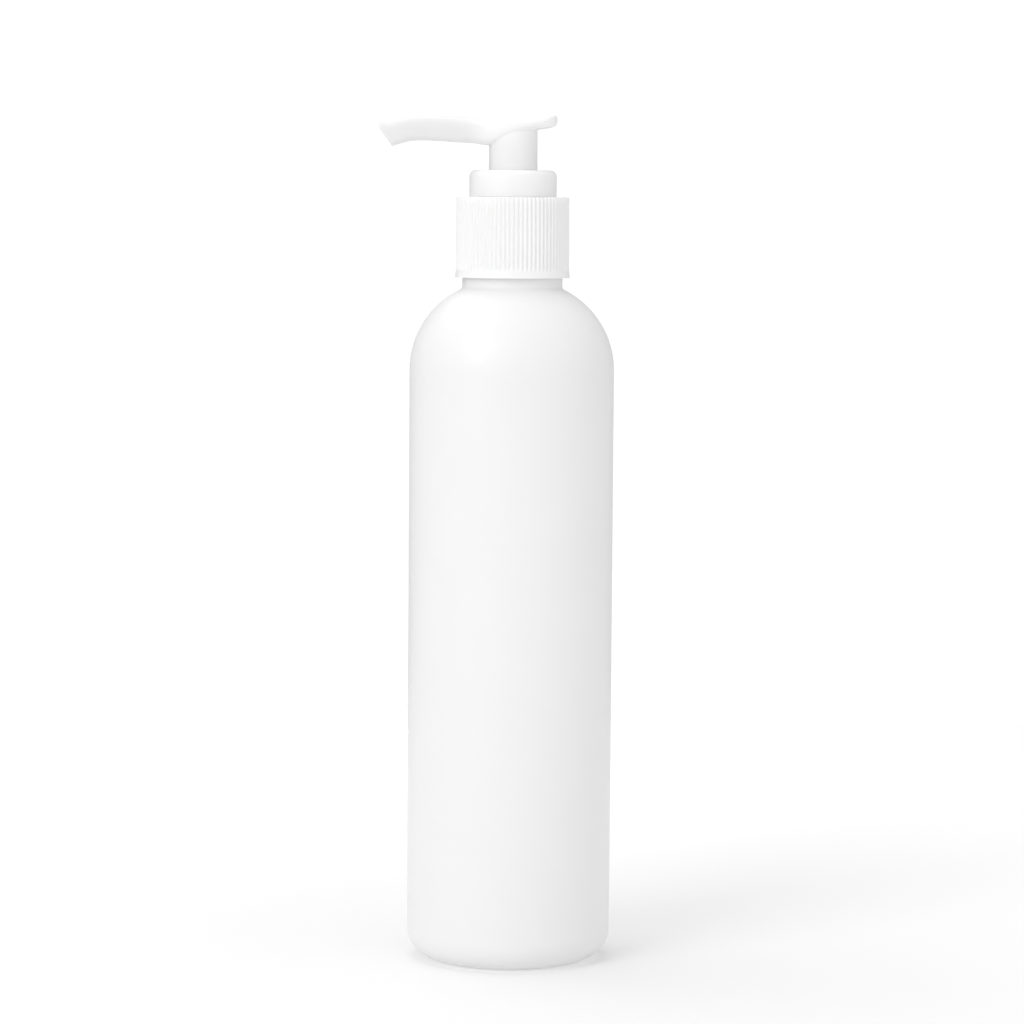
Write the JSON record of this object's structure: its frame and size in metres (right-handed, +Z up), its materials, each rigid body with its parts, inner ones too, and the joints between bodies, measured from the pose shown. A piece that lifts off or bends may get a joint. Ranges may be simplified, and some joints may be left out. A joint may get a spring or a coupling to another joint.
{
  "type": "shampoo bottle",
  "caption": "Tall round shampoo bottle with a ribbed screw closure and a push-down lotion pump whose long curved spout doses liquid into the hand.",
  "frame": {"origin": "centre of the standing ring on the plane that the bottle rests on", "axes": "+Z up along the bottle's axis; the spout points towards -X; +Y is the side away from a viewer who sees the spout on the left"},
  "size_m": [0.0578, 0.05, 0.2072],
  "materials": {
    "bottle_shell": "white blow-moulded polyethylene, satin",
    "closure_plastic": "white moulded polypropylene with fine grip ribs, satin",
    "collar_plastic": "white moulded polypropylene, smooth semi-gloss",
    "head_plastic": "white moulded polypropylene, smooth semi-gloss",
    "pump_plastic": "natural polypropylene, slightly milky",
    "piston_plastic": "soft natural polyethylene",
    "tube_plastic": "extruded natural polyethylene, translucent",
    "gasket_foam": "closed-cell polyethylene foam",
    "steel": "bright stainless steel"
  },
  "bodies": {
    "bottle": {"bottle": "bottle_shell"},
    "pump": {"pump_housing": "pump_plastic", "collar": "collar_plastic", "neck_gasket": "gasket_foam", "dip_tube": "tube_plastic", "inlet_ball_cage": "pump_plastic", "return_spring": "steel"},
    "closure": {"closure": "closure_plastic"},
    "plunger": {"piston": "piston_plastic"},
    "head": {"actuator_head": "head_plastic", "stem": "pump_plastic", "stem_plug": "pump_plastic"},
    "inlet_ball": {"inlet_ball": "steel"},
    "outlet_ball": {"outlet_ball": "steel"}
  },
  "joints": [
    {"name": "pump_lift", "type": "slide", "parent": "bottle", "child": "pump", "axis": [0, 0, 1], "range_m": [0, 0.00476]},
    {"name": "closure_turn", "type": "hinge", "parent": "pump", "child": "closure", "pos_m": [0, 0, 0.1775], "axis": [0, 0, 1], "range_deg": [0, 540]},
    {"name": "head_press", "type": "slide", "parent": "pump", "child": "plunger", "axis": [0, 0, -1], "range_m": [0, 0.0056], "stiffness_N_per_m": 1000, "springref_m": -0.008, "deforming": ["return_spring"]},
    {"name": "head_swivel", "type": "hinge", "parent": "plunger", "child": "head", "pos_m": [0, 0, 0.196], "axis": [0, 0, 1], "continuous": true},
    {"name": "inlet_ball_lift", "type": "slide", "parent": "pump", "child": "inlet_ball", "axis": [0, 0, 1], "range_m": [0, 0.0012]},
    {"name": "outlet_ball_lift", "type": "slide", "parent": "head", "child": "outlet_ball", "axis": [0, 0, 1], "range_m": [0, 0.0009]}
  ],
  "couplings": [
    {"joint": "closure_turn", "follows": "pump_lift", "rad_per_m": 1979}
  ]
}
